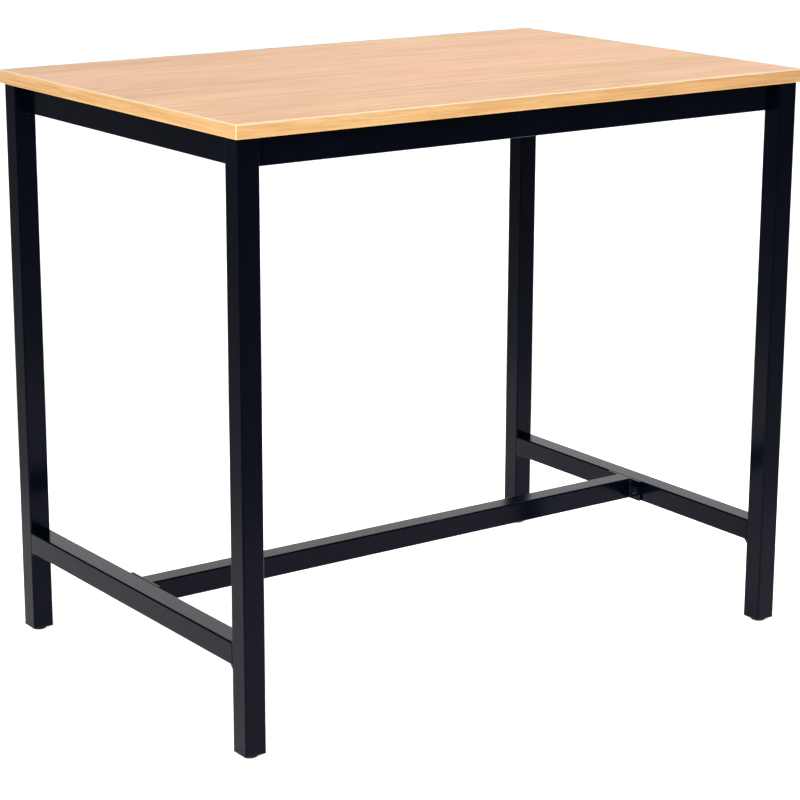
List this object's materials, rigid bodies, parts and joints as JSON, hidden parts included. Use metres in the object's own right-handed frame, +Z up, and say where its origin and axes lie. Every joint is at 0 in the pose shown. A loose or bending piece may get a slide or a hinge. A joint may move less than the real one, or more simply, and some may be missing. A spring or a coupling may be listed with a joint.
{
  "type": "high table",
  "caption": "Rectangular high table: beech-decor laminated board on a black square-tube steel frame with low end rails, a bolted foot stretcher and screw feet.",
  "frame": {"origin": "on the floor at the middle of the table", "axes": "+X along the long side, +Y from front to back, +Z up"},
  "size_m": [1.2, 0.8, 1.05],
  "materials": {
    "chipboard": "raw chipboard, hidden by laminate and edging",
    "beech_laminate": "satin laminate with printed beech grain",
    "beech_edging": "satin plastic edging with beech grain",
    "black_powder_coat": "glossy black powder coat",
    "dark_steel": "blackened steel fasteners",
    "zinc_steel": "zinc plated steel",
    "black_plastic": "matt black moulded plastic"
  },
  "bodies": {
    "table": {"backing_laminate": "beech_laminate", "board_screws": "zinc_steel", "core_board": "chipboard", "corner_angle_back_left": "black_powder_coat", "corner_angle_back_right": "black_powder_coat", "corner_angle_front_left": "black_powder_coat", "corner_angle_front_right": "black_powder_coat", "edging_back": "beech_edging", "edging_front": "beech_edging", "edging_left": "beech_edging", "edging_right": "beech_edging", "end_frame_welds_left": "black_powder_coat", "end_frame_welds_right": "black_powder_coat", "fixing_lugs_back": "black_powder_coat", "fixing_lugs_front": "black_powder_coat", "fixing_lugs_left": "black_powder_coat", "fixing_lugs_right": "black_powder_coat", "foot_insert_back_left": "black_plastic", "foot_insert_back_right": "black_plastic", "foot_insert_front_left": "black_plastic", "foot_insert_front_right": "black_plastic", "leg_back_left": "black_powder_coat", "leg_back_right": "black_powder_coat", "leg_front_left": "black_powder_coat", "leg_front_right": "black_powder_coat", "long_rail_back": "black_powder_coat", "long_rail_front": "black_powder_coat", "lower_end_rail_left": "black_powder_coat", "lower_end_rail_right": "black_powder_coat", "rail_bolts": "dark_steel", "rail_rivet_nuts": "zinc_steel", "rail_washers": "dark_steel", "stretcher_bolts": "dark_steel", "stretcher_plate_left": "black_powder_coat", "stretcher_plate_right": "black_powder_coat", "stretcher_rivet_nuts": "zinc_steel", "stretcher_tube": "black_powder_coat", "stretcher_washers": "dark_steel", "stretcher_welds": "black_powder_coat", "top_laminate": "beech_laminate", "upper_end_rail_left": "black_powder_coat", "upper_end_rail_right": "black_powder_coat"},
    "foot_front_left": {"foot_pad_front_left": "black_plastic", "foot_stud_front_left": "zinc_steel"},
    "foot_front_right": {"foot_pad_front_right": "black_plastic", "foot_stud_front_right": "zinc_steel"},
    "foot_back_left": {"foot_pad_back_left": "black_plastic", "foot_stud_back_left": "zinc_steel"},
    "foot_back_right": {"foot_pad_back_right": "black_plastic", "foot_stud_back_right": "zinc_steel"}
  },
  "joints": [
    {"name": "foot_screw_front_left", "type": "slide", "parent": "table", "child": "foot_front_left", "axis": [0, 0, 1], "range_m": [-0.012, 0]},
    {"name": "foot_screw_front_right", "type": "slide", "parent": "table", "child": "foot_front_right", "axis": [0, 0, 1], "range_m": [-0.012, 0]},
    {"name": "foot_screw_back_left", "type": "slide", "parent": "table", "child": "foot_back_left", "axis": [0, 0, 1], "range_m": [-0.012, 0]},
    {"name": "foot_screw_back_right", "type": "slide", "parent": "table", "child": "foot_back_right", "axis": [0, 0, 1], "range_m": [-0.012, 0]}
  ]
}
